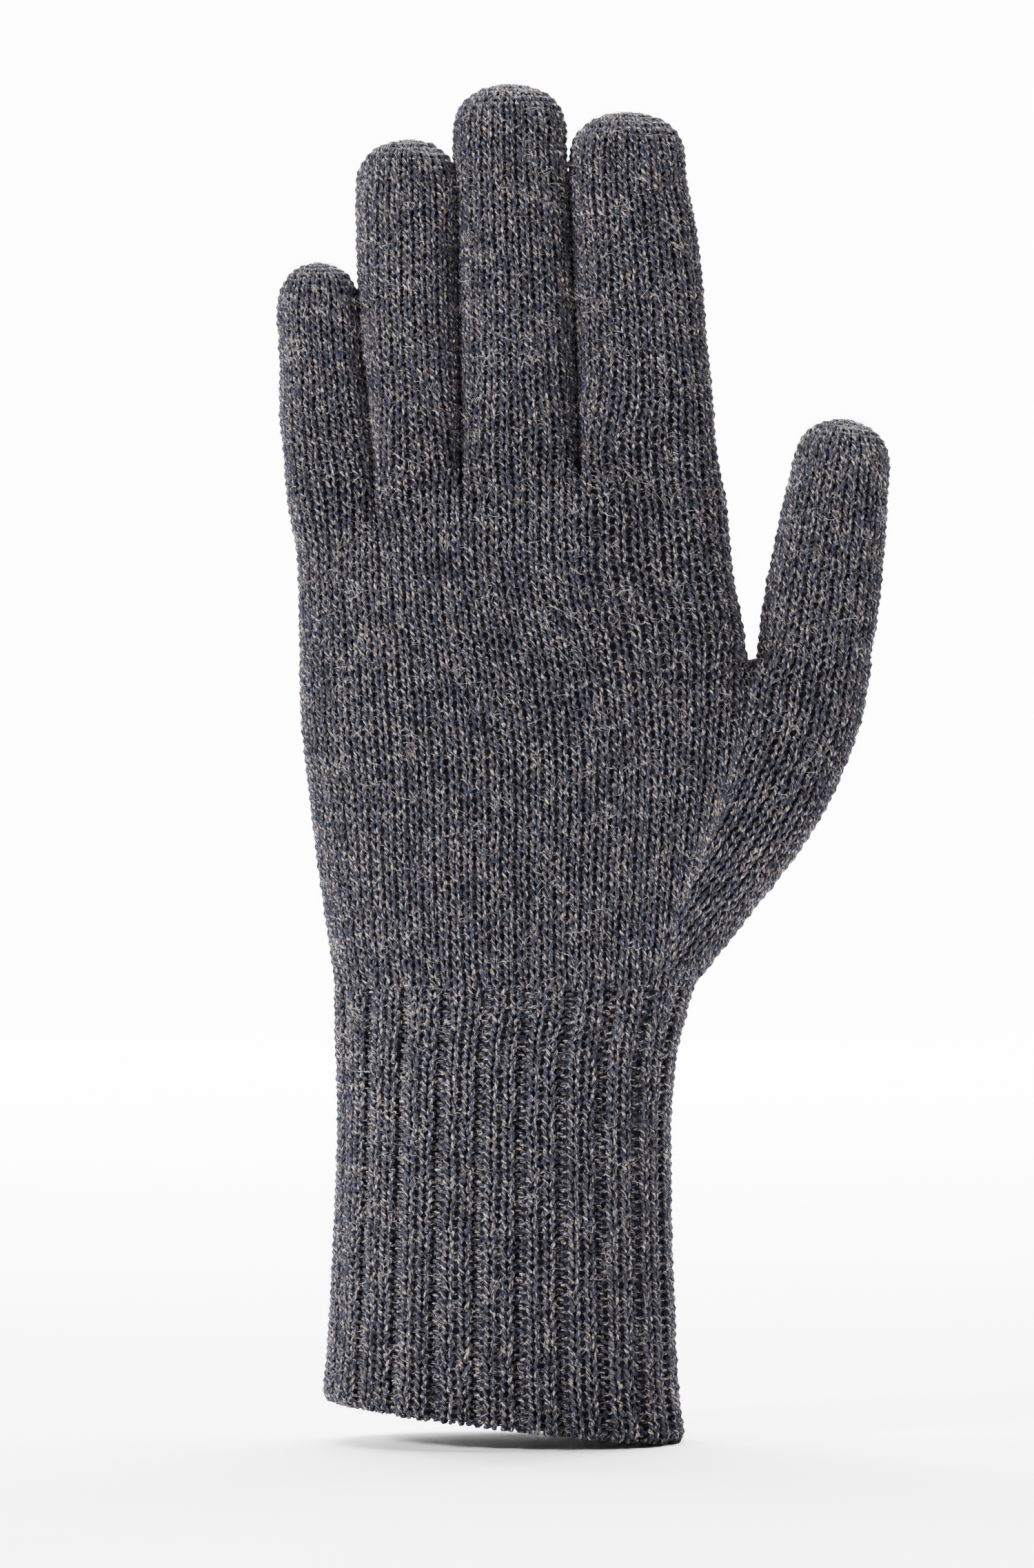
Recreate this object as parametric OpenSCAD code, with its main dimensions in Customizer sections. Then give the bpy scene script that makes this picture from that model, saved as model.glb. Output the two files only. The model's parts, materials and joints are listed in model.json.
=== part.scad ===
// Knitted glove, hollow, in the shape that a left hand gives it. Millimetres.
// +Z points to the fingertips, -Y to the back of the hand, +X to the thumb.
// The origin is the middle of the wrist opening.

/* [Cuff] */
// Width of the ribbed cuff at its narrowest
cuff_width = 71.5; // [68:0.5:75]
// Depth of the ribbed cuff, from the back of the hand to the palm
cuff_depth = 52; // [48:1:56]
// Height of the wrist crease, where the rib ends
wrist_height = 94; // [90:1:96]
// How much lower the hem hangs on the thumb side than on the other side
hem_drop = 9; // [0:1:12]
// Number of ribs around the cuff
rib_count = 22; // [18:1:24]

/* [Hand] */
// Width across the knuckles
hand_width = 92; // [88:1:94]
// Depth at the knuckles
hand_depth = 33; // [30:1:36]

/* [Fingers] */
// Depth of a finger at its middle joint, for the middle finger
finger_depth = 22; // [20:0.5:24]
// Length of the middle finger above its crotch
middle_length = 82; // [76:1:86]
// Depth of the thumb
thumb_depth = 24; // [22:0.5:26]

/* [Knit] */
// Thickness of the fabric
fabric = 2; // [1.6:0.1:2.4]
// How far a rib stands out of the cuff
rib_relief = 0.6; // [0.2:0.1:0.8]

/* [Joints] */
// Largest bend of a finger at its root
root_bend_angle = 60; // [30:5:60]
// Largest bend of a finger at its middle joint
middle_bend_angle = 75; // [40:5:75]
// Largest bend of a finger at its tip joint
tip_bend_angle = 45; // [20:5:45]
// Largest bend of the thumb at its root
thumb_root_angle = 40; // [20:5:40]
// Largest bend of the thumb at its tip joint
thumb_tip_angle = 60; // [30:5:60]
// Largest bend of the wrist, each way
wrist_bend_angle = 35; // [20:5:40]

/* [Hidden] */
FINGERS = ["little", "ring", "middle", "index"];
SEGMENTS = ["root", "root_bend", "base", "middle_bend", "middle", "tip_bend", "tip"];
THUMB_SEGMENTS = ["root", "root_bend", "base", "tip_bend", "tip"];

wool = "#4a4a50";        // charcoal marl
wool_dark = "#3c3c43";   // the same yarn where it stretches
around = 28;             // points around a finger or the thumb
around_hand = 48;        // points around the hand
per_rib = 6;             // points across one rib
joint_gap = 0.8;         // half the open line at a joint, on its stretched side
side_gap = 0.5;          // between neighbouring fingers
back_bend_angle = 20;    // room for a finger to bend back
hem_height = 7;
tip_dome = 12;           // height of the rounded end of a finger
wall_gap = 0.02;         // between nodes that meet face to face
saddle_width = 5;        // of the stitches that bridge two fingers
saddle_height = 2.2;
finger_crotches = [[-27, 193], [-9.4, 201.3], [15.6, 204]]; // x and top of each bridge
thumb_crotch = 163;
gusset_top = thumb_crotch + 1.7; // highest point of the gusset, where it meets the hand
thumb_saddle_x = 52.4;   // left side of the bridge between the thumb and the hand
thumb_x = 66.2;          // the middle of the thumb at its crotch
thumb_lean = 8.3;        // degrees from upright, away from the hand
thumb_y = 5;             // the thumb sits towards the palm

// ---- the outline of the hand, heights and positions ----
// Edge on the little finger's side
left_edge = [[0, -cuff_width / 2 - 3], [28, -cuff_width / 2 - 1.8], [60, -cuff_width / 2 - 0.4],
             [wrist_height, -cuff_width / 2 - 1.6], [120, -hand_width / 2 + 5.2],
             [150, -hand_width / 2 + 1.6], [190, -hand_width / 2 + 1.2], [206, -hand_width / 2]];
// Edge on the thumb's side, with the thumb left off
right_edge = [[0, cuff_width / 2 + 2.4], [28, cuff_width / 2 + 0.9], [60, cuff_width / 2 - 0.5],
              [80, cuff_width / 2 + 1.2], [wrist_height, hand_width / 2 - 4.6],
              [115, hand_width / 2 - 1], [140, hand_width / 2 + 3.5], [163, hand_width / 2 + 6.5],
              [178, hand_width / 2 + 3.6], [206, hand_width / 2 - 0.8]];
// Outer edge of the gusset
gusset_edge = [[wrist_height, hand_width / 2 - 4.4], [105, 49.6], [117, 58.6], [128, 66.6], [140, 72.7],
               [152, 76.4], [thumb_crotch, 78.9]];
depth_table = [[0, cuff_depth + 2], [60, cuff_depth], [wrist_height, 46], [120, hand_depth + 8],
               [150, hand_depth + 4.5], [190, hand_depth], [206, hand_depth - 4]];
squareness = [[0, 2.1], [wrist_height, 2.2], [150, 2.4], [206, 3]];

function power(v, p) = sign(v) * pow(abs(v), p);
function lerp(a, b, f) = a + (b - a) * f;

// A point of the hand's section at height z. The angle t starts at the thumb's side.
function hand_point(z, t, inset) =
    let (l = lookup(z, left_edge), r = lookup(z, right_edge), p = 2 / lookup(z, squareness))
    [(l + r) / 2 + ((r - l) / 2 - inset) * power(cos(t), p),
     (lookup(z, depth_table) / 2 - inset) * power(sin(t), p)];

// ---- fingers: [crotch height, joint heights, tip height,
//                [[z, centre x, width, depth] ...]] ----
little = [194, [202, 218, 232.5], 248.5,
          [[194, -37, 18.6, hand_depth - 9], [210, -38.1, 18.8, finger_depth - 2],
           [215, -38.7, 18.9, finger_depth - 3],
           [236, -40.2, 18.8, finger_depth - 4], [248.5, -41.2, 17, finger_depth - 5]]];
ring = [203, [211.5, 231.5, 253], 275,
        [[203, -18.65, 17.5, hand_depth - 4.6],
         [212, -19.5, 18.8, finger_depth + 0.6],
         [235, -20.8, 20.8, finger_depth - 0.5], [262, -21.2, 21.4, finger_depth - 2],
         [275, -21, 20, finger_depth - 3]]];
middle = [205, [213.5, 235, 262], 205 + middle_length,
          [[205, 2.9, 24.4, hand_depth - 4], [216, 2.7, 24.4, finger_depth + 1],
           [240, 2.1, 24.4, finger_depth], [270, 0.9, 23.8, finger_depth - 1.5],
           [287, 0.5, 22, finger_depth - 3]]];
index = [205, [213.5, 234, 256.5], 281,
         [[203, 30.5, 29.3, hand_depth - 5.5], [222, 29.6, 28.2, finger_depth + 1],
          [236, 28.7, 27.4, finger_depth + 0.5], [252, 27.8, 26.9, finger_depth - 0.5],
          [264, 26.4, 24.8, finger_depth - 1.5], [281, 25.2, 22, finger_depth - 3]]];
hands_fingers = [little, ring, middle, index];
// The thumb, in its own leaning frame, with z along its axis above the crotch
thumb = [0, [10, 26.5], 52.5,
         [[0, 0, 25.4, thumb_depth + 2], [12, 0, 26, thumb_depth], [30, 0, 24, thumb_depth - 2],
          [42, 0, 21.8, thumb_depth - 4], [52.5, 0, 20, thumb_depth - 5]]];

function column(f, i) = [for (row = f[3]) [row[0], row[i]]];
function centre_y(z) = z < 206 ? 0.6 : 0.6 + 3.4 * pow((z - 206) / 80, 2);
function dome(f, z) =
    let (u = (z - (f[2] - tip_dome)) / tip_dome) u <= 0 ? 1 : sqrt(max(0, 1 - u * u * u));

// A point of a finger's section at height z
function finger_point(f, z, t, inset, bow) =
    let (q = dome(f, z), p = 2 / lookup(z - f[0], [[0, 2.8], [22, 2.3]]))
    [lookup(z, column(f, 1)) + (lookup(z, column(f, 2)) / 2 - side_gap / 2 - inset) * q * power(cos(t), p),
     bow * centre_y(z) + (lookup(z, column(f, 3)) / 2 - inset) * q * power(sin(t), p)];

// ---- solids from rings of points ----
// outer and inner hold the same number of rings, each with the same number of points.
module shell(outer, inner, closed = true) {
    m = len(outer);
    n = len(outer[0]);
    base = m * n;
    last = closed ? n - 1 : n - 2;
    function quad(a, b, c, d) = [[a, b, c], [a, c, d]];
    function next(i) = (i + 1) % n;
    sides = [for (k = [0:m - 2]) for (i = [0:last]) each concat(
        quad(k * n + i, (k + 1) * n + i, (k + 1) * n + next(i), k * n + next(i)),
        quad(base + k * n + i, base + k * n + next(i),
             base + (k + 1) * n + next(i), base + (k + 1) * n + i))];
    rims = [for (i = [0:last]) each concat(
        quad(i, next(i), base + next(i), base + i),
        quad((m - 1) * n + i, base + (m - 1) * n + i,
             base + (m - 1) * n + next(i), (m - 1) * n + next(i)))];
    ends = closed ? [] : [for (k = [0:m - 2]) each concat(
        quad(k * n, base + k * n, base + (k + 1) * n, (k + 1) * n),
        quad(k * n + n - 1, (k + 1) * n + n - 1, base + (k + 1) * n + n - 1, base + k * n + n - 1))];
    polyhedron(points = [for (r = concat(outer, inner)) each r], faces = concat(sides, rims, ends));
}

// A shell that ends in a point inside and outside, for a fingertip
module cap(outer, inner, outer_tip, inner_tip) {
    m = len(outer);
    n = len(outer[0]);
    base = m * n;
    function quad(a, b, c, d) = [[a, b, c], [a, c, d]];
    function next(i) = (i + 1) % n;
    faces = concat(
        [for (k = [0:m - 2]) for (i = [0:n - 1]) each concat(
            quad(k * n + i, (k + 1) * n + i, (k + 1) * n + next(i), k * n + next(i)),
            quad(base + k * n + i, base + k * n + next(i),
                 base + (k + 1) * n + next(i), base + (k + 1) * n + i))],
        [for (i = [0:n - 1]) each quad(i, next(i), base + next(i), base + i)],
        [for (i = [0:n - 1]) [(m - 1) * n + i, 2 * base, (m - 1) * n + next(i)]],
        [for (i = [0:n - 1]) [base + (m - 1) * n + i, base + (m - 1) * n + next(i), 2 * base + 1]]);
    polyhedron(points = concat([for (r = concat(outer, inner)) each r], [outer_tip, inner_tip]),
               faces = faces);
}

// ---- cuff ----
// The slanted end of the cuff (side -1) or of the hand (side 1) at the wrist
function wrist_cut(y, side) = wrist_height + side * (joint_gap + abs(y) * tan(wrist_bend_angle / 2));
// Height of a cuff point of row height h. The rows follow the hem below and the wrist above.
function cuff_z(h, p) =
    let (end = wrist_height - joint_gap, f = h / end)
    lerp(h - p[0] * hem_drop / cuff_width * (1 - f), h + wrist_cut(p[1], -1) - end, f * f);
function rib_groove(i) = (i % per_rib) / per_rib < 0.68 ? 0 : rib_relief;

function cuff_ring(h, inset, ribbed) =
    [for (i = [0:rib_count * per_rib - 1])
        let (p = hand_point(h, 360 * i / (rib_count * per_rib), inset + (ribbed ? rib_groove(i) : 0)))
        [p[0], p[1], cuff_z(h, p)]];

module cuff_hem() {
    color(wool)
    shell([cuff_ring(0, 0.9, true), cuff_ring(0.9, 0, true), cuff_ring(3.5, -0.3, true),
           cuff_ring(hem_height, 0, true)],
          [for (h = [0, 0.9, 3.5, hem_height]) cuff_ring(h, h == 0 ? fabric + rib_relief - 0.6
                                                               : fabric + rib_relief, false)]);
}

module cuff_rib() {
    levels = [hem_height + wall_gap, 25, 45, 65, 80, wrist_height - joint_gap];
    color(wool)
    shell([for (h = levels) cuff_ring(h, 0, true)],
          [for (h = levels) cuff_ring(h, fabric + rib_relief, false)]);
}

// A ring of the hand between two heights that depend on depth
function hand_ring(z, inset, from, to, low, high, f) =
    [for (i = [0:around_hand - 1])
        let (t = lerp(from, to, i / (around_hand - (to - from == 360 ? 0 : 1))),
             p = hand_point(z, t, inset))
        [p[0], p[1], lerp(low(p), high(p), f)]];

module wrist_bend() {
    low = function (p) wrist_cut(p[1], -1) + wall_gap;
    high = function (p) wrist_cut(p[1], 1) - wall_gap;
    steps = [0, 0.5, 1];
    color(wool_dark)
    shell([for (f = steps) hand_ring(wrist_height, 0.3, 0, 360, low, high, f)],
          [for (f = steps) hand_ring(wrist_height, fabric, 0, 360, low, high, f)]);
}

// ---- hand ----
// Where the gusset's two seams run, as angles on the hand's section
function seam_front(z) = -lookup(z, [[wrist_height, 6], [thumb_crotch, 25]]);
function seam_palm(z) = lookup(z, [[wrist_height, 6], [thumb_crotch, 60]]);
// Height of a hand point in row z: the lowest rows follow the wrist's slanted cut
function hand_z(z, y) = z + (wrist_cut(y, 1) - wrist_height) * max(0, 1 - (z - wrist_height) / 30);
// The line from crotch to crotch where the fingers leave the hand
function knuckle_line(x) = lookup(x, [[-47, 193.5], [-27, 194], [-9.4, 203], [15.6, 205], [46, 205]]);

module hand_lower() {
    levels = [wrist_height, 108, 120, 135, 150, thumb_crotch + 2];
    function ring_at(z, inset) =
        [for (i = [0:around_hand])
            let (t = lerp(seam_palm(z), 360 + seam_front(z), i / around_hand), p = hand_point(z, t, inset))
            [p[0], p[1], hand_z(z, p[1])]];
    color(wool)
    shell([for (z = levels) ring_at(z, 0)], [for (z = levels) ring_at(z, fabric)], closed = false);
}

module hand_upper() {
    bottom = thumb_crotch + 2 + wall_gap;
    low = function (p) bottom;
    high = function (p) knuckle_line(p[0]) - wall_gap;
    levels = [0, 0.3, 0.6, 0.85, 1];
    color(wool)
    shell([for (f = levels) hand_ring(lerp(bottom, 204, f), 0, 0, 360, low, high, f)],
          [for (f = levels) hand_ring(lerp(bottom, 204, f), fabric, 0, 360, low, high, f)]);
}

// Height of a gusset point in row z: the top rows lean with the thumb, but stay under the upper hand
function gusset_z(z, x, y) = min(gusset_top,
    hand_z(z, y) - (x - thumb_x) * tan(thumb_lean) * max(0, (z - 146) / (thumb_crotch - 146)));

module thumb_gusset() {
    levels = [wrist_height, 108, 120, 132, 146, thumb_crotch - 0.3];
    gap = 0.15;
    // A quarter turn from each seam to the outer edge
    function arc(z, inset) =
        let (front = hand_point(z, seam_front(z) + 1, inset), palm = hand_point(z, seam_palm(z) - 1, inset),
             edge_y = lerp(0, thumb_y, (z - wrist_height) / (thumb_crotch - wrist_height)),
             edge_x = lookup(z, gusset_edge) - inset + 1)
        [for (i = [0:around])
            let (a = lerp(-90, 90, i / around), s = a < 0 ? front : palm,
                 x = s[0] + gap + (edge_x - s[0] - gap) * pow(cos(a), 0.85))
            [x, edge_y + abs(s[1] - edge_y) * sin(a), gusset_z(z, x, s[1])]];
    color(wool)
    shell([for (z = levels) arc(z, 0)], [for (z = levels) arc(z, fabric)], closed = false);
}

// ---- crotches: a saddle of stitches from the back of the hand to the palm ----
module saddle(x, z, reach, width, height) {
    steps = 10;
    function arch(y, drop) = z - 2.5 * pow(y / reach, 2) - drop;
    ys = [for (i = [0:steps]) lerp(-reach, reach, i / steps)];
    outline = concat([for (y = ys) [y, arch(y, 0)]],
                     [for (i = [steps:-1:0]) [ys[i], arch(ys[i], height)]]);
    color(wool_dark)
    translate([x + width / 2, 0, 0]) rotate([90, 0, -90]) mirror([1, 0, 0])
    linear_extrude(width) polygon(outline);
}

// Room inside the hand at height z, from its middle plane to the wall, over a saddle's width at x
function inner_reach(z, x) =
    let (l = lookup(z, left_edge), r = lookup(z, right_edge), n = lookup(z, squareness),
         across = (abs(x - (l + r) / 2) + saddle_width / 2) / ((r - l) / 2 - fabric))
    (lookup(z, depth_table) / 2 - fabric) * pow(1 - pow(across, n), 1 / n) - 0.5;

module finger_crotch(i) {
    x = finger_crotches[i][0];
    z = finger_crotches[i][1];
    saddle(x, z, inner_reach(z + 1, x), saddle_width, saddle_height);
}

// ---- fingers and thumb ----
// The slanted end of a segment at joint height h: side -1 below the joint, 1 above it
function joint_cut(h, y, yh, angle, side) =
    h + side * (joint_gap + (y > yh ? (y - yh) * tan(angle / 2) : (yh - y) * tan(back_bend_angle / 2)));

// Rings of one finger between two end functions of [x, y]
module tube(f, z0, z1, low, high, bow, rings = 4) {
    function ring_at(u, inset) =
        let (z = lerp(z0, z1, u))
        [for (i = [0:around - 1])
            let (p = finger_point(f, z, 360 * i / around, inset, bow))
            [p[0], p[1], lerp(low(p), high(p), u)]];
    steps = [for (k = [0:rings - 1]) k / (rings - 1)];
    shell([for (u = steps) ring_at(u, 0)], [for (u = steps) ring_at(u, fabric)]);
}

module tip(f, z0, low, bow) {
    heights = [z0, lerp(z0, f[2], 0.3), f[2] - tip_dome, f[2] - 7, f[2] - 3.5, f[2] - 1.2, f[2] - 0.3];
    inner_end = f[2] - fabric;
    function inner_height(z) =
        let (d = f[2] - tip_dome) z <= d ? z : d + (z - d) * (tip_dome - fabric) / tip_dome;
    function ring_at(z, inset) =
        [for (i = [0:around - 1])
            let (p = finger_point(f, z, 360 * i / around, inset, bow))
            [p[0], p[1], z == z0 ? low(p) : max(inset > 0 ? inner_height(z) : z, low(p) + (z - z0) * 0.2)]];
    cap([for (z = heights) ring_at(z, 0)], [for (z = heights) ring_at(z, fabric)],
        [lookup(f[2], column(f, 1)), bow * centre_y(f[2]), f[2]],
        [lookup(f[2], column(f, 1)), bow * centre_y(f[2]), inner_end]);
}

// One segment of a finger with three joints, or of the thumb with two
module segment(f, name, base_z, bow) {
    is_thumb = len(f[1]) == 2;
    h1 = f[1][0];
    h2 = f[1][1];
    h3 = is_thumb ? h2 : f[1][2];
    a1 = is_thumb ? thumb_root_angle : root_bend_angle;
    a2 = middle_bend_angle;
    a3 = is_thumb ? thumb_tip_angle : tip_bend_angle;
    y1 = bow * centre_y(h1);
    y2 = bow * centre_y(h2);
    y3 = bow * centre_y(h3);
    cut1 = function (side) function (p) joint_cut(h1, p[1], y1, a1, side);
    cut2 = function (side) function (p) joint_cut(h2, p[1], y2, a2, side);
    cut3 = function (side) function (p) joint_cut(h3, p[1], y3, a3, side);
    up = function (g) function (p) g(p) + wall_gap;
    down = function (g) function (p) g(p) - wall_gap;
    if (name == "root") color(wool) tube(f, f[0], h1, base_z, down(cut1(-1)), bow);
    if (name == "root_bend") color(wool_dark) tube(f, h1, h1, cut1(-1), cut1(1), bow, 3);
    if (name == "base")
        color(wool) tube(f, h1, h2, up(cut1(1)), down(is_thumb ? cut3(-1) : cut2(-1)), bow);
    if (name == "middle_bend") color(wool_dark) tube(f, h2, h2, cut2(-1), cut2(1), bow, 3);
    if (name == "middle") color(wool) tube(f, h2, h3, up(cut2(1)), down(cut3(-1)), bow);
    if (name == "tip_bend") color(wool_dark) tube(f, h3, h3, cut3(-1), cut3(1), bow, 3);
    if (name == "tip") color(wool) tip(f, h3, up(cut3(1)), bow);
}

module finger(i, name) {
    f = hands_fingers[i];
    segment(f, name, function (p) knuckle_line(p[0]) + wall_gap, 1);
}

module thumb_part(name) {
    translate([thumb_x, thumb_y, thumb_crotch]) rotate([0, thumb_lean, 0])
    segment(thumb, name, function (p) wall_gap, 0);
}

// The bridge between the thumb and the edge of the hand
module crotch_thumb() {
    saddle(thumb_saddle_x, thumb_crotch + 1.6, 6, 2, 2);
}

cuff_hem();
cuff_rib();
wrist_bend();
hand_lower();
hand_upper();
thumb_gusset();
finger_crotch(0);  // crotch_little_ring
finger_crotch(1);  // crotch_ring_middle
finger_crotch(2);  // crotch_middle_index
crotch_thumb();
for (i = [0:3]) for (s = SEGMENTS)
    finger(i, s);
for (s = THUMB_SEGMENTS)
    thumb_part(s);
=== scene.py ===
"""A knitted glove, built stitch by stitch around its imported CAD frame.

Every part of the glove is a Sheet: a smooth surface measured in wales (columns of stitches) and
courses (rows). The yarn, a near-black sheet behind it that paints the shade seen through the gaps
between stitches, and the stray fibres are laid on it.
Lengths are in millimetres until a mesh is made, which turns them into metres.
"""
import json
import math

import bpy
import numpy as np
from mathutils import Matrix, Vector


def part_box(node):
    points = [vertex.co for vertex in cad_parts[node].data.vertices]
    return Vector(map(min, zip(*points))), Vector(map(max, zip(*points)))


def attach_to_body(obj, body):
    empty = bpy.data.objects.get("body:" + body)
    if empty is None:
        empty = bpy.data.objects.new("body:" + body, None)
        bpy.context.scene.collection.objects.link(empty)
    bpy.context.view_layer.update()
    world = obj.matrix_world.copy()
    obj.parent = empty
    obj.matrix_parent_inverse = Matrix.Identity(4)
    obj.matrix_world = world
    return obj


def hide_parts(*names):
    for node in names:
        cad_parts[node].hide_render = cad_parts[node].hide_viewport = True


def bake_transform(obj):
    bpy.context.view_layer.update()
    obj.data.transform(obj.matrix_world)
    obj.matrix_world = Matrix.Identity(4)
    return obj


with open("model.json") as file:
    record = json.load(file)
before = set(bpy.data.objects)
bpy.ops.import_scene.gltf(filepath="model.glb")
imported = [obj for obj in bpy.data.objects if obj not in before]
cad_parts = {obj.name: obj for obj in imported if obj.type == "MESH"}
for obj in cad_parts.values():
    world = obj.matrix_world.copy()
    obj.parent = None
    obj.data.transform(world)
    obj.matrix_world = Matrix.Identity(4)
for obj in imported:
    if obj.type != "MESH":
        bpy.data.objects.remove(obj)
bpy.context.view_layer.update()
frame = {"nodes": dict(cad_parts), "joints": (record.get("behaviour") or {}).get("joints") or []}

MM = 0.001
TURN = 2 * math.pi
rng = np.random.default_rng(7)

# ---- the knit ----
WALES = 72  # around the hand
CUFF_WALES = 66  # around the cuff: the other six are added at the wrist
RIB = 3 * WALES / CUFF_WALES  # one rib, two knit wales and a purl one, in wales of the hand
RIB_COURSE = 1.76  # height of a course in the rib
HAND_COURSE = 2.06
FINGER_COURSE = 1.80
YARN = 0.43  # radius of the yarn
LOOP_WIDTH = 0.20  # how far a loop's legs lean, in wales
LOOP_PAIR = 0.045  # how much nearer a loop's two legs are than legs of neighbouring wales
LOOP_HEIGHT = 0.80  # half the height of a loop, in courses
LOOP_DEPTH = 0.56  # how far the legs stand in front of the loop's head and foot
UNEVEN_ACROSS = 0.045  # how uneven the stitches are, in wales
UNEVEN_UP = 0.07  # and in courses
UNEVEN_DEPTH = 0.08
UNEVEN_YARN = 0.05  # how uneven the yarn is, as a share of its radius
STEPS = 12  # points along one stitch
SIDES = 6  # sides of the yarn
FIBRE_STEPS = 5  # pieces of one stray fibre
FIBRES_PER_STITCH = 3.5
SHADE_SHEET_LEVEL = -0.25  # the outer face of the painted-shade sheet, from the middle of the knit
SHADE_SHEET_THICKNESS = 0.3
SPARSE = 1.8  # width of a stitch where the rounds close a fingertip
SKIN = YARN + LOOP_DEPTH - 0.05  # from the outside of the knit to its middle
RIB_SINK = 1.35  # depth of the furrows between the ribs
FINGERS = ("little", "ring", "middle", "index")


def smooth(value, low, high):
    """0 below low, 1 above high, and smooth between them."""
    t = np.clip((value - low) / (high - low), 0, 1)
    return t * t * (3 - 2 * t)


# ---- what the CAD says ----
class Walls:
    """The walls of some CAD nodes, cut at any level of a local frame."""

    def __init__(self, nodes, origin=(0, 0, 0), axes=np.eye(3)):
        points, edges, count = [], [], 0
        for name in nodes:
            mesh = frame["nodes"][name].data
            co = np.empty(len(mesh.vertices) * 3)
            mesh.vertices.foreach_get("co", co)
            pairs = np.empty(len(mesh.edges) * 2, int)
            mesh.edges.foreach_get("vertices", pairs)
            points.append((co.reshape(-1, 3) / MM - origin) @ np.array(axes).T)
            edges.append(pairs.reshape(-1, 2) + count)
            count += len(mesh.vertices)
        self.points = np.concatenate(points)
        self.edges = np.concatenate(edges)

    def cut(self, level):
        """Lowest and highest x, then lowest and highest y, at this level."""
        a, b = self.points[self.edges[:, 0]], self.points[self.edges[:, 1]]
        crossing = (a[:, 2] - level) * (b[:, 2] - level) < 0
        a, b = a[crossing], b[crossing]
        f = ((level - a[:, 2]) / (b[:, 2] - a[:, 2]))[:, None]
        p = a + (b - a) * f
        return p[:, 0].min(), p[:, 0].max(), p[:, 1].min(), p[:, 1].max()


def box_mm(node):
    low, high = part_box(node)
    return np.array(low) / MM, np.array(high) / MM


joints = {j["name"]: j for j in frame["joints"]}


def hinge(name):
    return np.array(joints[name]["pos_m"]) / MM


HEM_Z = box_mm("cuff_hem")[0][2]
HEM_DROP = 9.0  # how much lower the hem hangs on the thumb's side
HEM_WIDTH = 76  # across which it drops
WRIST_Z = hinge("wrist")[2]
crotches = [box_mm(f"crotch_{n}") for n in ("little_ring", "ring_middle", "middle_index")]
CROTCH_X = [(low[0] + high[0]) / 2 for low, high in crotches]
CROTCH_Z = [high[2] + 1 for low, high in crotches]


# ---- sheets ----
class Sheet:
    """A grid of points, its columns evenly spaced in wales and its rows in courses. Columns go
    counter-clockwise seen from the fingertips, so the normals point out of the glove."""

    def __init__(self, points, wales, first_course, columns_per_wale=4, rows_per_course=2):
        self.points = points
        self.wales = wales
        self.first = first_course
        self.per_wale = columns_per_wale
        self.per_course = rows_per_course
        along = np.roll(points, -1, 1) - np.roll(points, 1, 1)
        up = np.gradient(points, axis=0)
        normal = np.cross(along, up)
        self.normals = normal / np.maximum(np.linalg.norm(normal, axis=2, keepdims=True), 1e-9)

    def pick(self, grid, u, v):
        rows, columns = grid.shape[:2]
        x = np.mod(u, self.wales) * self.per_wale
        y = np.clip((v - self.first) * self.per_course, 0, rows - 1.001)
        i, j = np.floor(x).astype(int), np.floor(y).astype(int)
        fx, fy = (x - i)[..., None], (y - j)[..., None]
        i0, i1 = i % columns, (i + 1) % columns
        low = grid[j, i0] * (1 - fx) + grid[j, i1] * fx
        high = grid[j + 1, i0] * (1 - fx) + grid[j + 1, i1] * fx
        return low * (1 - fy) + high * fy

    def at(self, u, v, height=0.0):
        """Points at wale u and course v, raised off the sheet, and the normals there."""
        n = self.pick(self.normals, u, v)
        n /= np.maximum(np.linalg.norm(n, axis=-1, keepdims=True), 1e-9)
        return self.pick(self.points, u, v) + n * np.asarray(height)[..., None], n

    def girth(self, v):
        """The length round the sheet at course v."""
        u = np.linspace(0, self.wales, 97)
        p = self.pick(self.points, u, np.full(97, float(v)))
        return np.linalg.norm(np.diff(p, axis=0), axis=1).sum()


ANGLES = np.linspace(0, TURN, 721)


def oval(centre_x, centre_y, half_x, half_y, squareness):
    """A rounded rectangle, its points at ANGLES, and the share of its length at each."""
    c, s = np.cos(ANGLES), np.sin(ANGLES)
    p = 2 / squareness
    x = centre_x + half_x * np.sign(c) * np.abs(c) ** p
    y = centre_y + half_y * np.sign(s) * np.abs(s) ** p
    length = np.concatenate([[0], np.cumsum(np.hypot(np.diff(x), np.diff(y)))])
    return x, y, length / length[-1]


def around(ring, share):
    """Points of an oval at these shares of its length, counted from the thumb's side."""
    x, y, length = ring
    share = np.mod(share, 1)
    return np.interp(share, length, x), np.interp(share, length, y)


def oval_distance(x, y, centre_x, centre_y, half_x, half_y, squareness):
    """Roughly how far points lie outside an oval, and the direction outwards."""
    px, py = (x - centre_x) / half_x, (y - centre_y) / half_y
    ax, ay = np.maximum(np.abs(px), 1e-4), np.maximum(np.abs(py), 1e-4)
    f = (ax**squareness + ay**squareness) ** (1 / squareness)
    gx = np.sign(px) * (ax / f) ** (squareness - 1) / half_x
    gy = np.sign(py) * (ay / f) ** (squareness - 1) / half_y
    g = np.maximum(np.hypot(gx, gy), 1e-6)
    return (f - 1) / g, gx / g, gy / g


# ---- the hand's and the cuff's section at any height ----
body_walls = Walls(["cuff_hem", "cuff_rib", "wrist_bend", "hand_lower", "hand_upper"])
levels = np.concatenate([np.arange(10, WRIST_Z - 10, 6.0), [WRIST_Z], np.arange(112, 192, 8.0)])
cuts = np.array([body_walls.cut(z) for z in levels])
hem_low, hem_high = box_mm("cuff_hem")
LEVELS = np.concatenate([[0], levels, [212]])
LEFT = np.concatenate([[hem_low[0]], cuts[:, 0], [cuts[-1, 0] - 1.3]])
DEPTH = np.concatenate([[hem_high[1] - hem_low[1]], cuts[:, 3] - cuts[:, 2], [28]])
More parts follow.
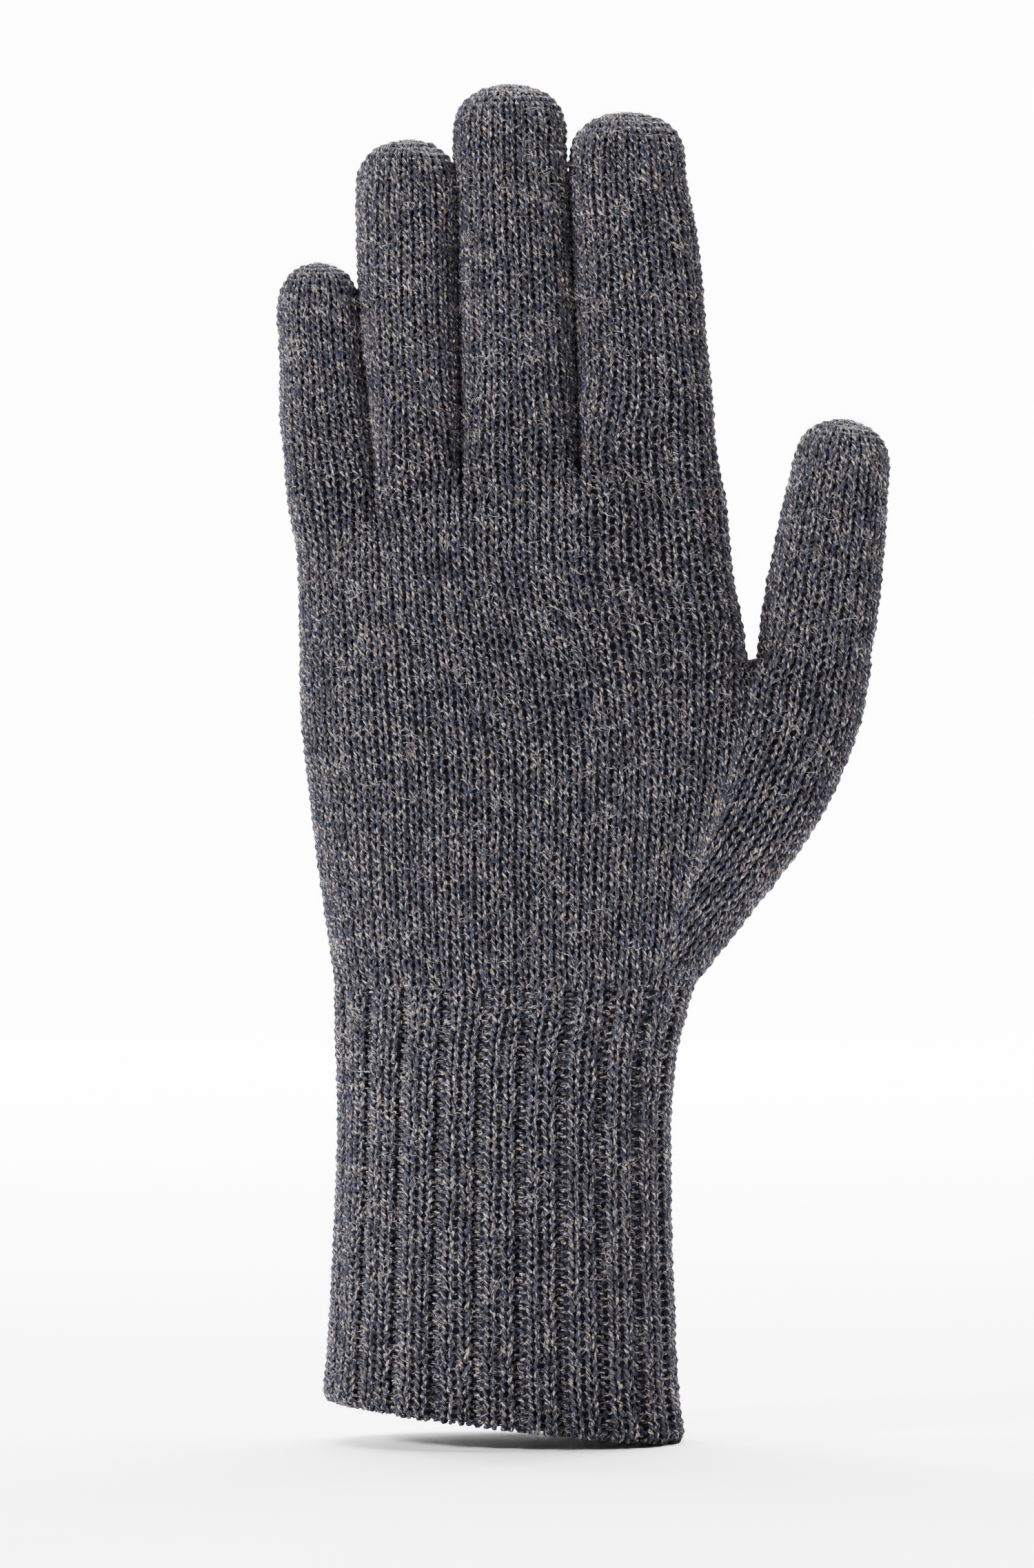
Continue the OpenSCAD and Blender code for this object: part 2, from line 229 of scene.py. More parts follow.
# the gusset hides the hand's own edge, so that edge runs straight from the wrist to the crotch
clear = (levels <= WRIST_Z) | (levels > box_mm("hand_upper")[0][2])
RIGHT_LEVELS = np.concatenate([[0], levels[clear], [212]])
RIGHT = np.concatenate([[hem_high[0]], cuts[clear, 1], [cuts[-1, 1] - 2.5]])


def hand_oval(z):
    """Centre, half sizes and squareness of the knit's middle surface at height z."""
    left = np.interp(z, LEVELS, LEFT)
    right = np.interp(z, RIGHT_LEVELS, RIGHT)
    squareness = np.interp(z, [0, WRIST_Z, 150, 206], [2.1, 2.2, 2.4, 3.0])
    depth = np.interp(z, LEVELS, DEPTH)
    return (left + right) / 2, 0.0, (right - left) / 2 - SKIN, depth / 2 - SKIN, squareness


# ---- fingers ----
# Stitches of each finger that go on from the hand on each side, and stitches picked up at the
# crotch on its left and right. The anchor is a stitch of the finger that faces a known way.
FRONT = {"little": 9, "ring": 7, "middle": 9, "index": 11}
FIRST = {"little": 0, "ring": 9, "middle": 16, "index": 25}  # its first stitch on the hand
PICKED_UP = {"little": (0, 5), "ring": (6, 6), "middle": (5, 5), "index": (6, 0)}
ROUND = {f: 2 * FRONT[f] + sum(PICKED_UP[f]) for f in FINGERS}
ANCHOR = {"little": (0, 0.5), "ring": (FRONT["ring"] / 2, 0.75),
          "middle": (FRONT["middle"] / 2, 0.75), "index": (FRONT["index"], 1.0)}
CROTCH_WALES = [0, 9, 16, 25, 36]  # little finger's edge, the three crotches, the thumb's edge
LEFT_CROTCH = dict(zip(FINGERS, (CROTCH_Z[0], *CROTCH_Z)))
RIGHT_CROTCH = dict(zip(FINGERS, (*CROTCH_Z, CROTCH_Z[2])))
PARTS = ("root", "root_bend", "base", "middle_bend", "middle", "tip_bend", "tip")
DOME = 12.0  # height of a rounded fingertip
TIP_RADIUS = 9.5  # of a fingertip, where its rounds start to close
THUMB_TIP_RADIUS = 10
PRESSED = 0.95  # how far neighbouring fingers press into each other's fuzz
CREASE = 0.95  # share of a finger's half width at which it meets the next one at the crotch


class Finger:
    """The section of one finger at any height."""

    def __init__(self, name):
        walls = Walls([f"{name}_{part}" for part in PARTS])
        self.is_little = name == "little"
        self.tip = box_mm(f"{name}_tip")[1][2]
        self.crotch = max(LEFT_CROTCH[name], RIGHT_CROTCH[name])
        self.levels = np.arange(self.crotch + 3, self.tip - DOME + 1, 5.0)
        self.cuts = np.array([walls.cut(z) for z in self.levels])

    def section(self, z, shrink=1.0):
        x0, x1, y0, y1 = (np.interp(z, self.levels, self.cuts[:, i]) for i in range(4))
        squareness = np.interp(z - self.crotch, [0, 30], [3.0, 2.5])
        pressed = PRESSED
        if self.is_little:  # its tip comes beside the ring finger's tip in a fist
            pressed = PRESSED * (1 - smooth(z, self.tip - 34, self.tip - 20))
        return ((x0 + x1) / 2, (y0 + y1) / 2, ((x1 - x0) / 2 - SKIN + pressed) * shrink,
                ((y1 - y0) / 2 - SKIN) * shrink, squareness)


fingers = {f: Finger(f) for f in FINGERS}


def finger_point(name, w, z, shrink=1.0):
    """Points of a finger at stitches w. At the crotch its front and palm stitches spread right to
    the crease beside the next finger, and the picked-up ones crowd between them."""
    section = fingers[name].section(z, shrink)
    ring = oval(*section)
    stitch, share = ANCHOR[name]
    even = share + (w - stitch) / ROUND[name]
    turn = math.degrees(math.acos(CREASE ** (section[4] / 2)))
    shares = {key: np.interp(math.radians(a), ANGLES, ring[2]) for key, a in
              (("palm right", turn), ("palm left", 180 - turn), ("left", 180 + turn), ("right", 360 - turn))}
    n, total = FRONT[name], ROUND[name]
    right_picked = PICKED_UP[name][1]
    if name == "little":
        knots = [0, n, n + right_picked, total]
        marks = [0.5, shares["right"], 1 + shares["palm right"], 1.5]
    elif name == "index":
        knots = [0, n, 2 * n, total]
        marks = [shares["left"], 1, 1 + shares["palm left"], 1 + shares["left"]]
    else:
        knots = [0, n, n + right_picked, 2 * n + right_picked, total]
        marks = [shares["left"], shares["right"], 1 + shares["palm right"], 1 + shares["palm left"],
                 1 + shares["left"]]
    crowded = 1 - smooth(z, fingers[name].crotch, fingers[name].crotch + 20)
    return around(ring, even + (np.interp(w, knots, marks) - even) * crowded)


# ---- courses ----
def course_heights(first, top):
    """Heights of the courses from the wrist up: they get a little closer on the fingers."""
    z, heights = first, []
    while z < top:
        heights.append(z)
        z += HAND_COURSE + (FINGER_COURSE - HAND_COURSE) * float(smooth(z, 185, 215))
    return np.array(heights)


COURSES = course_heights(WRIST_Z, 300)
CUFF_COURSES = int(round((WRIST_Z - 5) / RIB_COURSE))


def course_z(v):
    return np.interp(v, np.arange(len(COURSES)), COURSES)


def course_at(z):
    return float(np.interp(z, COURSES, np.arange(len(COURSES))))


# ---- hand sheet ----
def crotch_line(u):
    """Height at which the hand ends at wale u."""
    front = np.minimum(u, WALES - u)
    return np.interp(front, CROTCH_WALES, [CROTCH_Z[0], *CROTCH_Z, CROTCH_Z[2]])


def hand_to_finger(u):
    """Which finger each wale of the hand becomes, and its stitch there."""
    name = np.full(u.shape, "", dtype=object)
    w = np.zeros(u.shape)
    for f in FINGERS:
        a, n = FIRST[f], FRONT[f]
        front = (u >= a) & (u < a + n)
        back = (u >= WALES - a - n) & (u < WALES - a)
        name[front | back] = f
        w[front] = u[front] - a
        if f == "little":
            w[back] = ROUND[f] - (WALES - u[back])
        elif f == "index":
            w[back] = u[back] - a
        else:
            w[back] = n + PICKED_UP[f][1] + u[back] - (WALES - a - n)
    return name, w


def rib_depth(z):
    """1 where the cuff is fully ribbed, fading to 0 in the plain hand."""
    return 1 - smooth(z, WRIST_Z - 8, WRIST_Z + 7)


def rib_place(u):
    """Where wale u lies in its rib: 0 to 2 on the knit wales, 2 to 3 on the purl one."""
    return np.mod(u, RIB) / RIB * 3


def rib_shift(u, strength):
    """Knit wales take more room than the purl wale between them."""
    place = rib_place(u)
    wide = np.interp(place, [0, 1, 2, 3], [0, 1.17, 2.34, 3])
    return u + (wide - place) * RIB / 3 * strength


def rib_groove(u):
    """How deep the furrow is: deepest beside the knit wales, shallower over the purl bumps."""
    place = rib_place(u)
    furrow = np.exp(-(((place - 2.12) / 0.22) ** 2))
    purl = smooth(place, 1.8, 2.2) * (1 - smooth(place, 2.8, 3.0))
    return 1.35 * furrow + 0.75 * purl


def parting(z, crotch):
    """0 where the hand is one tube, 1 where the fingers are round."""
    return smooth(z, crotch - 9, crotch + 6)


def leave_hand(name, w, z, x, y):
    """Pulls a finger's lowest rows to the hand's own surface, so that the creases open softly."""
    a, n, total = FIRST[name], FRONT[name], ROUND[name]
    palm_start = n + PICKED_UP[name][1]
    corners = np.array([0, n, palm_start, palm_start + n])
    wales = np.array([a, a + n, WALES - a - n, WALES - a])
    on_front, on_palm = w <= n, (w >= palm_start) & (w <= palm_start + n)
    u = np.where(on_front, a + w, np.where(on_palm, WALES - a - n + w - palm_start, 0))
    hx, hy = hand_row(z, u)
    left = 1 - parting(z, crotch_line(u))
    dx, dy = (hx - x) * left, (hy - y) * left
    # between front and palm, the picked-up stitches share the pull of both corners
    cx, cy = hand_row(z, wales)
    fx, fy = finger_point(name, corners, max(z, fingers[name].crotch))
    pull = 1 - parting(z, crotch_line(wales))
    px, py = (cx - fx) * pull, (cy - fy) * pull
    for low, high, i, j in ((n, palm_start, 1, 2), (palm_start + n, total, 3, 0)):
        picked = (w > low) & (w < high)
        f = (w[picked] - low) / max(high - low, 1)
        dx[picked] = px[i] * (1 - f) + px[j] * f
        dy[picked] = py[i] * (1 - f) + py[j] * f
    return x + dx, y + dy


U_FINE = np.arange(0, WALES, 0.25)


def hand_row(z, u):
    """Points of the cuff or hand at height z."""
    ring = oval(*hand_oval(z))
    x, _, length = ring
    # wale 0 is at the little finger's edge; the wales part at the crotches near the top
    even = u / WALES
    front = slice(len(ANGLES) // 2, None)
    marks = [0.0] + [np.interp(cx, x[front], length[front]) - 0.5 for cx in CROTCH_X] + [0.5]
    shares = marks + [1 - m for m in marks[-2::-1]]
    knots = CROTCH_WALES + [WALES - k for k in CROTCH_WALES[-2::-1]]
    share = even + (np.interp(u, knots, shares) - even) * smooth(z, 135, 190)
    return around(ring, share + 0.5)


gusset_walls = Walls(["thumb_gusset"])
thumb_hinge, thumb_knuckle = hinge("thumb_root_joint"), hinge("thumb_tip_joint")
THUMB_AXIS = (thumb_knuckle - thumb_hinge) / np.linalg.norm(thumb_knuckle - thumb_hinge)
THUMB_LEAN = math.atan2(THUMB_AXIS[0], THUMB_AXIS[2])
THUMB_SIDE = np.array([math.cos(THUMB_LEAN), 0, -math.sin(THUMB_LEAN)])
thumb_walls = Walls([f"thumb_{part}" for part in ("root", "root_bend", "base", "tip_bend", "tip")],
                    thumb_hinge, (THUMB_SIDE, (0, 1, 0), THUMB_AXIS))
THUMB_START = thumb_walls.points[:, 2].min()
THUMB_END = thumb_walls.points[:, 2].max()
THUMB_Y = thumb_hinge[1]
THUMB_FOOT = thumb_hinge + THUMB_START * THUMB_AXIS
GUSSET_LEVELS = np.array([WRIST_Z] + list(np.arange(104, THUMB_FOOT[2] - 6, 6.0)) + [THUMB_FOOT[2]])
THUMB_HALF = 12.9  # half the thumb's width at its foot
GUSSET_EDGE = np.array([hand_oval(WRIST_Z)[0] + hand_oval(WRIST_Z)[2] + SKIN]
                       + [gusset_walls.cut(z)[1] for z in GUSSET_LEVELS[1:-1]]
                       + [THUMB_FOOT[0] + THUMB_HALF])


def thumb_oval(z):
    """The thumb's tube carried down into the hand, where the gusset is."""
    edge = np.interp(z, GUSSET_LEVELS, GUSSET_EDGE) + max(0, z - THUMB_FOOT[2]) * math.tan(THUMB_LEAN)
    y = THUMB_Y * smooth(z, WRIST_Z, 160)
    deep = np.interp(z, [WRIST_Z, 163], [15, 13.0]) - SKIN
    return edge - THUMB_HALF, y, THUMB_HALF - SKIN, deep, 2.2


def fillet(z):
    """How softly the gusset flows into the hand: tight where it starts and at the crotch."""
    return np.interp(z, [WRIST_Z, 106, 122, 140, 156, 163, 170], [0.5, 3.5, 7, 7, 6, 3.6, 0.4])


def melt(x, y, z, own, other):
    """Moves points of one tube out to the smooth surface that covers both tubes."""
    k = fillet(z)
    for _ in range(4):
        d1, gx1, gy1 = oval_distance(x, y, *own)
        d2, gx2, gy2 = oval_distance(x, y, *other)
        low = np.minimum(d1, d2)
        e1, e2 = np.exp(-(d1 - low) / k), np.exp(-(d2 - low) / k)
        d = low - k * np.log(e1 + e2)
        gx, gy = (gx1 * e1 + gx2 * e2) / (e1 + e2), (gy1 * e1 + gy2 * e2) / (e1 + e2)
        g = np.maximum(np.hypot(gx, gy), 0.3)
        x, y = x - d * gx / g, y - d * gy / g
    return x, y


def make_hand_sheet(first, last):
    """Courses first to last of the cuff and hand. Course 0 is at the wrist, and the cuff's are below."""
    rows = []
    name, w = hand_to_finger(U_FINE)
    for v in np.arange(first, last + 0.5, 0.5):
        if v < 0:
            z, inset = cuff_profile(v)
        else:
            z, inset = course_z(v), 0.0
        ribbed = float(rib_depth(z))
        x, y = hand_row(z, rib_shift(U_FINE, ribbed))
        if WRIST_Z < z < THUMB_FOOT[2] + 8:
            x, y = melt(x, y, z, hand_oval(z), thumb_oval(z))
        part = parting(z, crotch_line(U_FINE))
        if part.max() > 0:
            for f in FINGERS:
                here = name == f
                fx, fy = finger_point(f, w[here], max(z, fingers[f].crotch))
                x[here] += (fx - x[here]) * part[here]
                y[here] += (fy - y[here]) * part[here]
        sink = RIB_SINK * ribbed * rib_groove(U_FINE) + inset
        nx, ny = np.gradient(y), -np.gradient(x)
        n = np.maximum(np.hypot(nx, ny), 1e-6)
        x, y = x - nx / n * sink, y - ny / n * sink
        tilt = -x * HEM_DROP / HEM_WIDTH * (1 - smooth(z, 0, WRIST_Z + 4))
        rows.append(np.stack([x, y, z + tilt], 1))
    return Sheet(np.array(rows), WALES, first)


HEM_ROUND = 1.7  # radius of the rolled hem
HEM_TURN = math.pi * HEM_ROUND / RIB_COURSE  # courses in the roll
HEM_INSIDE = 3  # courses turned up inside
HEM_FLARE = 0.7  # how far the hem stands out


def cuff_profile(v):
    """Height of a cuff course, and how far inside the cuff it lies: the hem rolls inwards."""
    start = -CUFF_COURSES
    if v >= start:
        z = WRIST_Z + v * (WRIST_Z - HEM_ROUND) / CUFF_COURSES
        return z, -HEM_FLARE * math.exp(-((z / 5) ** 2))
    turned = min((start - v) / HEM_TURN, 1)
    a = turned * math.pi
    z = HEM_ROUND - HEM_ROUND * math.sin(a)
    inset = HEM_ROUND * (1 - math.cos(a)) - HEM_FLARE
    beyond = max(0, (start - v) - HEM_TURN) * RIB_COURSE
    return z + beyond, inset


CUFF_FIRST = -CUFF_COURSES - int(HEM_TURN) - 1 - HEM_INSIDE
hand_sheet = make_hand_sheet(CUFF_FIRST, math.ceil(course_at(max(CROTCH_Z))) + 1)


# ---- finger and thumb sheets ----
def dome_rows(radius, course):
    """Height above the dome's foot and shrink of each half course up a rounded end."""
    u = np.linspace(0, 0.9995, 400)
    z, q = u * DOME, np.sqrt(1 - u**3)
    length = np.concatenate([[0], np.cumsum(np.hypot(np.diff(z), radius * np.diff(q)))])
    at = np.arange(course / 2, length[-1], course / 2)
    return np.interp(at, length, z), np.interp(at, length, q)


def make_finger_sheet(name):
    finger = fingers[name]
    first = math.floor(course_at(min(LEFT_CROTCH[name], RIGHT_CROTCH[name]))) - 1
    w = np.arange(0, ROUND[name], 0.25)
    rows = []
    v = first
    while course_z(v) < finger.tip - DOME:
        z = course_z(v)
        # below its higher crotch the finger still has the section that it starts with
        x, y = finger_point(name, w, max(z, finger.crotch))
        if z < finger.crotch + 6:
            x, y = leave_hand(name, w, z, x, y)
        rows.append(np.stack([x, y, np.full(w.shape, z)], 1))
        v += 0.5
    foot = course_z(v - 0.5)
    span = (finger.tip - SKIN - foot) / DOME
    for dz, q in zip(*dome_rows(TIP_RADIUS, FINGER_COURSE)):
        z = foot + dz * span
        x, y = finger_point(name, w, z, q)
        rows.append(np.stack([x, y, np.full(w.shape, z)], 1))
    return Sheet(np.array(rows), ROUND[name], first)


THUMB_ROUND = 26  # stitches round the thumb
THUMB_COURSE = 1.85
GUSSET_TOP = math.floor(course_at(THUMB_FOOT[2]))  # last level course of the gusset


def thumb_section(s, shrink=1.0):
    """The thumb's section at distance s along its axis from its root joint."""
    s = np.clip(s, THUMB_START + 1, THUMB_END - DOME)
    x0, x1, y0, y1 = thumb_walls.cut(s)
    return ((x0 + x1) / 2, (y0 + y1) / 2, ((x1 - x0) / 2 - SKIN) * shrink,
            ((y1 - y0) / 2 - SKIN) * shrink, 2.25)


def thumb_row(section, origin, lean, share):
    x, y = around(oval(*section), share)
    across = np.array([math.cos(lean), 0, -math.sin(lean)])
    return origin + x[:, None] * across + y[:, None] * np.array([0, 1, 0])


def make_thumb_sheet():
    """The gusset's level courses, then the thumb's leaning ones. Stitch 0 is on the outer edge."""
    share = np.arange(0, THUMB_ROUND, 0.25) / THUMB_ROUND
    rows = []
    first = 1
    for v in np.arange(first, GUSSET_TOP + 0.1, 0.5):
        z = course_z(v)
        own = thumb_oval(z)
        x, y = around(oval(*own), share)
        x, y = melt(x, y, z, own, hand_oval(z))
        rows.append(np.stack([x, y, np.full(share.shape, z)], 1))
    start = (course_z(GUSSET_TOP) - THUMB_FOOT[2]) / THUMB_AXIS[2] + THUMB_START
    s, lean_rows = start, []
    while s + THUMB_COURSE / 2 < THUMB_END - DOME:
        s += THUMB_COURSE / 2
        lean_rows.append((s, 1.0))
    span = (THUMB_END - SKIN - s) / DOME
    lean_rows += [(s + dz * span, q) for dz, q in zip(*dome_rows(THUMB_TIP_RADIUS, THUMB_COURSE))]
    for s, q in lean_rows:
        lean = THUMB_LEAN * float(smooth(s, start, start + 14))
        rows.append(thumb_row(thumb_section(s, q), thumb_hinge + s * THUMB_AXIS, lean, share))
    return Sheet(np.array(rows), THUMB_ROUND, first)


finger_sheets = {f: make_finger_sheet(f) for f in FINGERS}
thumb_sheet = make_thumb_sheet()


# ---- which stitches each sheet keeps ----
OVERLAP = 0.7  # how far under the other tube a stitch may lie


def everywhere(u, v):
    return np.ones(u.shape, bool)


def hand_keeps(u, v):
    """The hand stops at the crotches, and where the gusset covers it."""
    z = course_z(v)
    x, y = np.empty(u.shape), np.empty(u.shape)
    keep = z < crotch_line(np.mod(u, WALES))
    low = (v > 1) & (z < THUMB_FOOT[2] + 1)
    for level in np.unique(v[low]):
        row = low & (v == level)
        zz = float(course_z(level))
        x[row], y[row] = hand_row(zz, np.mod(u[row], WALES))
        d = oval_distance(x[row], y[row], *thumb_oval(zz))[0]
        keep[row] &= d > -OVERLAP
    return keep


def thumb_keeps(u, v):
    """The gusset starts where it comes out of the hand."""
    keep = np.ones(u.shape, bool)
    for level in np.unique(v[v < GUSSET_TOP + 2]):
        row = v == level
        zz = float(course_z(level))
        share = np.mod(u[row], THUMB_ROUND) / THUMB_ROUND
        x, y = around(oval(*thumb_oval(min(zz, THUMB_FOOT[2]))), share)
        keep[row] = oval_distance(x, y, *hand_oval(zz))[0] > -OVERLAP
    return keep


def finger_keeps(name):
    """A finger starts at the line between its crotches."""
    left, right = LEFT_CROTCH[name], RIGHT_CROTCH[name]
    n, total = FRONT[name], ROUND[name]
    palm_start = n + PICKED_UP[name][1]
    knots = [0, n, palm_start, palm_start + n, total]
    heights = [left, right, right, left, left]

    def keep(w, v):
        return course_z(v) >= np.interp(np.mod(w, total), knots, heights)
    return keep


# ---- meshes ----
def new_object(name, points, faces, material, sides=4, uv=None):
    """A mesh object from arrays in millimetres. Every face has the same number of sides."""
    mesh = bpy.data.meshes.new(name)
    mesh.vertices.add(len(points))
    mesh.vertices.foreach_set("co", (np.asarray(points) * MM).astype(np.float32).ravel())
    faces = np.asarray(faces, np.int32)
    mesh.loops.add(faces.size)
    mesh.loops.foreach_set("vertex_index", faces.ravel())
    mesh.polygons.add(len(faces))
    mesh.polygons.foreach_set("loop_start", np.arange(len(faces), dtype=np.int32) * sides)
    mesh.update(calc_edges=True)
    mesh.polygons.foreach_set("use_smooth", np.ones(len(faces), bool))
    if uv is not None:
        layer = mesh.uv_layers.new(name="yarn")
        layer.data.foreach_set("uv", uv.astype(np.float32).ravel())
    obj = bpy.data.objects.new(name, mesh)
    bpy.context.collection.objects.link(obj)
    mesh.materials.append(material)
    return obj


def only_used(points, faces):
    """The points that the faces use, and the faces with their new numbers."""
    used = np.unique(faces)
    index = np.zeros(len(points), np.int64)
    index[used] = np.arange(len(used))
    return points[used], index[faces]


def wander(count, size):
    """Soft random values round a course, one for each stitch, that close on themselves."""
    raw = rng.normal(0, 1, count)
    return size * (raw + np.roll(raw, 1) * 0.6) / 1.17


def yarn_course(sheet, v, stitches, keep, face_of):
    """The points of one course of yarn, with the sheet's normals, and which steps are kept."""
    n = stitches * STEPS
    i = np.arange(n + 1)
    t = i / STEPS * TURN
    stitch = (i // STEPS) % stitches
    scale = sheet.wales / stitches
    f = (i % STEPS) / STEPS
    nxt = (stitch + 1) % stitches

    def jitter(size):
        a = wander(stitches, size)
        return a[stitch] * (1 - f) + a[nxt] * f
    u = t / TURN + LOOP_WIDTH * np.sin(2 * t) + LOOP_PAIR * np.sin(t) + jitter(UNEVEN_ACROSS)
    face = face_of(u * scale, v)
    up = v - LOOP_HEIGHT * np.cos(t) + jitter(UNEVEN_UP)
    depth = -LOOP_DEPTH * np.cos(2 * t) * face + jitter(UNEVEN_DEPTH)
    u = u * scale
    u[-1], up[-1], depth[-1] = u[0] + sheet.wales, up[0], depth[0]
    points, normals = sheet.at(u, up, depth)
    centre = (stitch + 0.5) * scale
    kept = keep(centre[:-1], np.full(n, float(v)))
    radius = YARN * (1 + jitter(UNEVEN_YARN))
    radius[-1] = radius[0]
    return points, normals, kept, radius


def plain(u, v):
    """1 everywhere: every wale is a knit one."""
    return np.ones(u.shape)


def ribbed(u, v):
    """1 on knit wales, -1 on purl wales, fading to plain knit above the cuff."""
    z = cuff_profile(v)[0] if v < 0 else float(course_z(v))
    place = rib_place(u)
    purl = smooth(place, 1.9, 2.1) * (1 - smooth(place, 2.9, 3))
    return 1 - 2 * purl * (z < WRIST_Z)


def stitches_in(sheet, v):
    """Stitches of a course: fewer in the cuff, and fewer where the rounds close a fingertip."""
    if v < 0:
        return CUFF_WALES
    girth = sheet.girth(v)
    if girth / sheet.wales > 1.5:
        return sheet.wales
    return max(5, round(girth / SPARSE))


def knit(name, sheet, first, last, keep, material, face_of):
    """One object: courses first to last of yarn on a sheet."""
    all_points, all_faces, all_uv, count = [], [], [], 0
    turn = np.arange(SIDES) / SIDES * TURN
    side, nxt = np.arange(SIDES), (np.arange(SIDES) + 1) % SIDES
    for v in range(first, last + 1):
        points, normals, kept, radius = yarn_course(sheet, v, stitches_in(sheet, v), keep, face_of)
        if not kept.any():
            continue
        along = np.gradient(points, axis=0)
        along[0] = along[-1] = points[1] - points[-2]
        along /= np.maximum(np.linalg.norm(along, axis=1, keepdims=True), 1e-9)
        across = np.cross(along, normals)
        across /= np.maximum(np.linalg.norm(across, axis=1, keepdims=True), 1e-9)
        out = np.cross(across, along)
        ring = points[:, None] - radius[:, None, None] * (
            np.cos(turn)[None, :, None] * out[:, None] + np.sin(turn)[None, :, None] * across[:, None])
        length = np.concatenate([[0], np.cumsum(np.linalg.norm(np.diff(points, axis=0), axis=1))])
        length += rng.uniform(0, 400)
        steps = np.nonzero(kept)[0]
        a = steps[:, None] * SIDES + side
        b = steps[:, None] * SIDES + nxt
        quads = np.stack([a, a + SIDES, b + SIDES, b], -1).reshape(-1, 4)
        u0 = np.repeat(length[steps], SIDES)
        u1 = np.repeat(length[steps + 1], SIDES)
        v0 = np.tile(side / SIDES, len(steps))
        v1 = v0 + 1 / SIDES
        uv = np.stack([np.stack([u0, v0], 1), np.stack([u1, v0], 1), np.stack([u1, v1], 1),
                       np.stack([u0, v1], 1)], 1).reshape(-1, 2)
        all_points.append(ring.reshape(-1, 3))
        all_faces.append(quads + count)
        all_uv.append(uv)
        count += len(points) * SIDES
    points, faces = only_used(np.concatenate(all_points), np.concatenate(all_faces))
    return new_object(name, points, faces, material, uv=np.concatenate(all_uv))


def shade_sheet(name, sheet, first, last, keep, material):
    """A thin closed shell in the middle of the knit, coloured near-black: painted shade seen through the
    gaps between stitches.
    """
    us = np.arange(0, sheet.wales, 0.5)
    vs = np.arange(first, last + 0.01, 0.5)
    u, v = np.meshgrid(us, vs)
    outer, _ = sheet.at(u.ravel(), v.ravel(), np.full(u.size, SHADE_SHEET_LEVEL))
    inner, _ = sheet.at(u.ravel(), v.ravel(), np.full(u.size, SHADE_SHEET_LEVEL - SHADE_SHEET_THICKNESS))
    columns, rows = len(us), len(vs)
    keep_cell = keep((u + 0.25).ravel(), np.minimum(v, last).ravel()).reshape(rows, columns)[:-1]
    j, i = np.nonzero(keep_cell)
    a, b = j * columns + i, j * columns + (i + 1) % columns
    c, d = b + columns, a + columns
    base = rows * columns
    faces = np.concatenate([np.stack([a, b, c, d], 1), np.stack([a, d, c, b], 1) + base])
    # close the rims where a kept cell has no kept neighbour
    walls = []
    for di, dj, p, q in ((1, 0, b, c), (-1, 0, d, a), (0, 1, c, d), (0, -1, a, b)):
        ni, nj = (i + di) % columns, j + dj
        inside = (nj >= 0) & (nj < rows - 1)
        open_rim = ~inside
        open_rim[inside] = ~keep_cell[nj[inside], ni[inside]]
        walls.append(np.stack([q, p, p + base, q + base], 1)[open_rim])
    points, faces = only_used(np.concatenate([outer, inner]), np.concatenate([faces] + walls))
    return new_object(name, points, faces, material)


def stray_fibres(name, sheet, first, last, keep, material):
    """Fine curled fibres that stand off the yarn, each a narrow ribbon."""
    count = int(FIBRES_PER_STITCH * sheet.wales * (last - first + 1))
    u = rng.uniform(0, sheet.wales, count)
    v = rng.uniform(first - 0.4, last + 0.4, count)
    kept = keep(u, np.clip(np.round(v), first, last))
    u, v = u[kept], v[kept]
    count = len(u)
    if not count:
        return None
    # most are 1 to 4 mm long, and one in twenty is longer
    length = rng.gamma(2.2, 0.8, count) + 0.8
    long_ones = rng.uniform(size=count) < 0.05
    length[long_ones] += rng.uniform(2, 6, long_ones.sum())
    foot, n = sheet.at(u, v, np.full(count, YARN * 0.5))
    ahead, _ = sheet.at(u + 0.3, v, np.full(count, YARN * 0.5))
    along = ahead - foot
    along /= np.maximum(np.linalg.norm(along, axis=1, keepdims=True), 1e-9)
    up = np.cross(n, along)
    # each fibre curls as it goes: it turns in the fabric's plane and rises, then sinks back
    heading = rng.uniform(0, TURN, count)
    curl = rng.normal(0, 1.0, count) + np.sign(rng.normal(0, 1, count)) * 0.9
    curl_change = rng.normal(0, 1.2, count)
    rise = rng.uniform(0.15, 1.0, count) * np.minimum(0.25 + length * 0.22, 1.5)
    point, path, sides = foot.copy(), [], []
    for k in range(FIBRE_STEPS + 1):
        s = k / FIBRE_STEPS
        angle = heading + curl * s + curl_change * s * s
        flat = np.cos(angle)[:, None] * along + np.sin(angle)[:, None] * up
        path.append(point + n * (rise * np.sin(math.pi * min(s * 1.15, 1)) + 0.15)[:, None])
        sides.append(np.cross(flat, n))
        point = point + flat * (length / FIBRE_STEPS)[:, None]
    roll = rng.uniform(0, TURN, count)[:, None]
    width = rng.uniform(0.014, 0.030, count)[:, None]
    points = []
    for k, (p, side) in enumerate(zip(path, sides)):
        across = (side * np.cos(roll) + n * np.sin(roll)) * width * (1 - 0.6 * k / FIBRE_STEPS)
        points += [p - across, p + across]
    points = np.stack(points, 1).reshape(-1, 3)
    base = np.arange(count)[:, None] * 2 * (FIBRE_STEPS + 1)
    faces = np.concatenate([base + np.array([2 * k, 2 * k + 1, 2 * k + 3, 2 * k + 2])
                            for k in range(FIBRE_STEPS)])
    return new_object(name, points, faces, material)


# ---- materials ----
def material(name):
    m = bpy.data.materials.new(name)
    m.use_nodes = True
    nodes = m.node_tree.nodes
    return m, nodes, m.node_tree.links, nodes["Principled BSDF"]


def ramp(nodes, stops):
    node = nodes.new("ShaderNodeValToRGB")
    while len(node.color_ramp.elements) < len(stops):
        node.color_ramp.elements.new(0.5)
    for element, (place, colour) in zip(node.color_ramp.elements, stops):
        element.position = place
        element.color = (*colour, 1)
    return node


